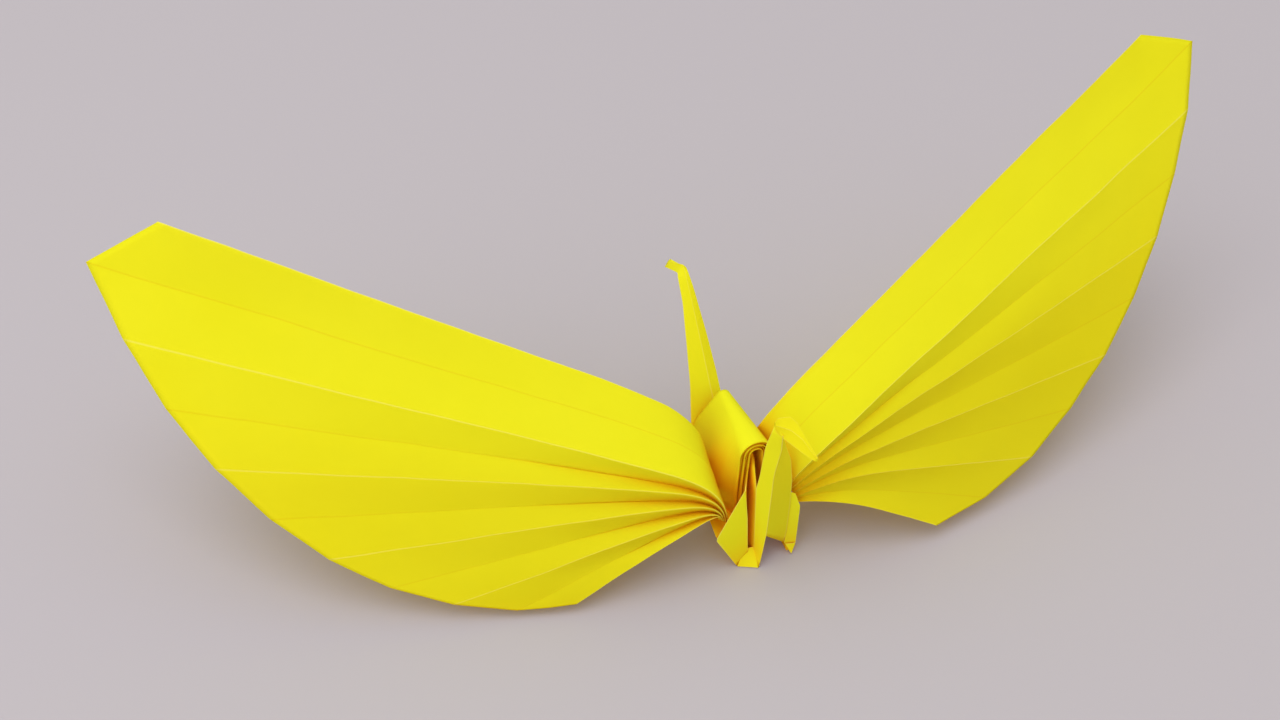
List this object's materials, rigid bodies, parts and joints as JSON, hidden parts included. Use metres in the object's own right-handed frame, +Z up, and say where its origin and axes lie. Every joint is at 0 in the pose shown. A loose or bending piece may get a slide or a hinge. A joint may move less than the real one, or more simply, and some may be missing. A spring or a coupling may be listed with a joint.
{
  "type": "paper crane",
  "caption": "Folded paper crane with long wings pleated into open fans, a narrow ridged body, a slim neck with a bent beak and a short tail with its tip folded over.",
  "frame": {"origin": "on the table, under the middle of the crane's outline", "axes": "+X from the left wing to the right wing as seen from the tail, +Y from the tail to the neck, +Z up"},
  "size_m": [0.2081, 0.0683, 0.0647],
  "materials": {
    "yellow_paper": "matte, dyed through"
  },
  "bodies": {
    "root": {"paper_crane": "yellow_paper"}
  },
  "joints": []
}
